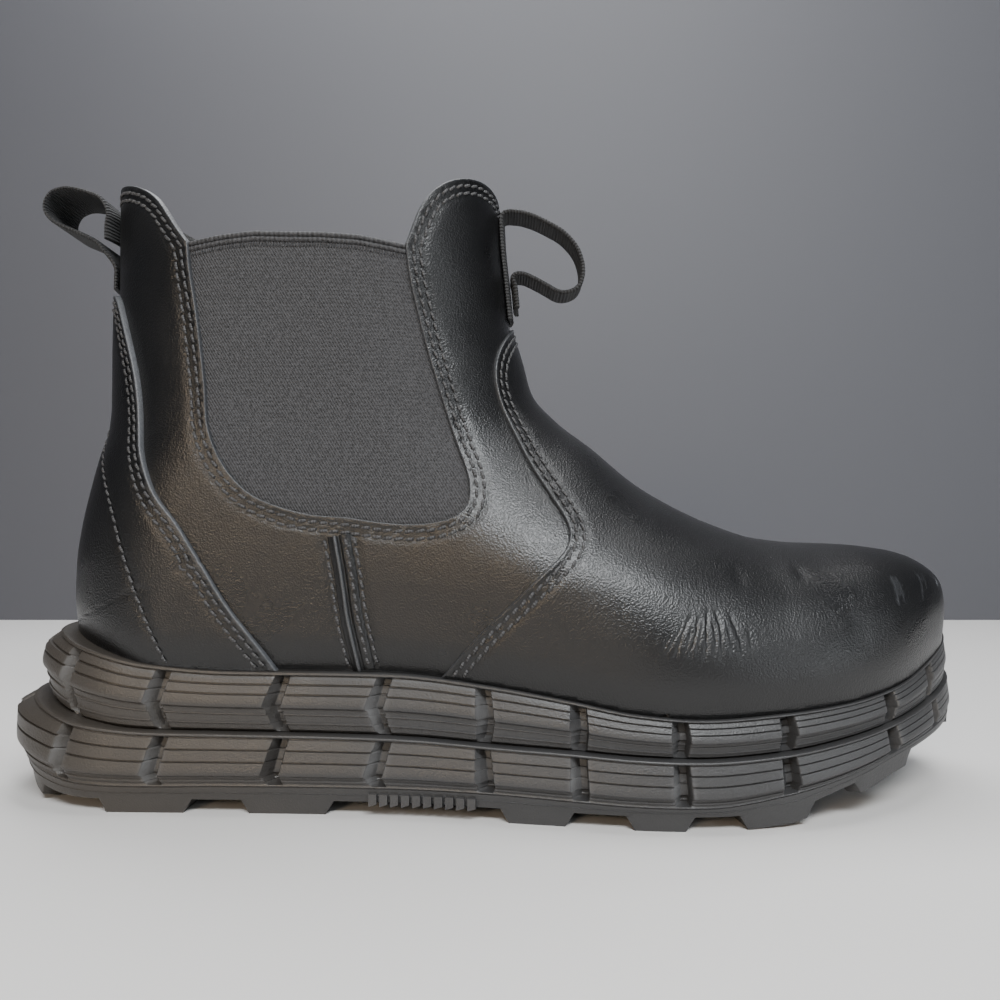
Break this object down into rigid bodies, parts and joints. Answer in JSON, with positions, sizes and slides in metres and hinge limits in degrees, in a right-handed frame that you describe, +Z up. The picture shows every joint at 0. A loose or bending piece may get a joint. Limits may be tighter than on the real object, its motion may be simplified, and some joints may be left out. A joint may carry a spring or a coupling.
{
  "type": "side gore work boot",
  "caption": "Black leather pull-on work boot for the right foot, with elastic side gores, webbing pull loops and a thick two-tier block rubber sole.",
  "frame": {"origin": "on the floor plane, below the middle of the boot's length and width", "axes": "+X from the heel to the toe, +Y to the boot's inner side, +Z up"},
  "size_m": [0.2978, 0.1068, 0.1881],
  "materials": {
    "rubber_sole": "matte moulded rubber",
    "insole_fabric": "brushed fabric",
    "leather_black": "semi-gloss, smooth grain",
    "elastic_grey": "ribbed elastic weave",
    "webbing_black": "woven webbing"
  },
  "bodies": {
    "root": {"outsole": "rubber_sole", "midsole": "rubber_sole", "insole": "insole_fabric", "upper": "leather_black", "heel_counter": "leather_black", "gore_outer": "elastic_grey", "gore_inner": "elastic_grey", "side_seam_outer": "leather_black", "side_seam_inner": "leather_black", "pull_loop_front": "webbing_black", "pull_loop_rear": "webbing_black"}
  },
  "joints": []
}
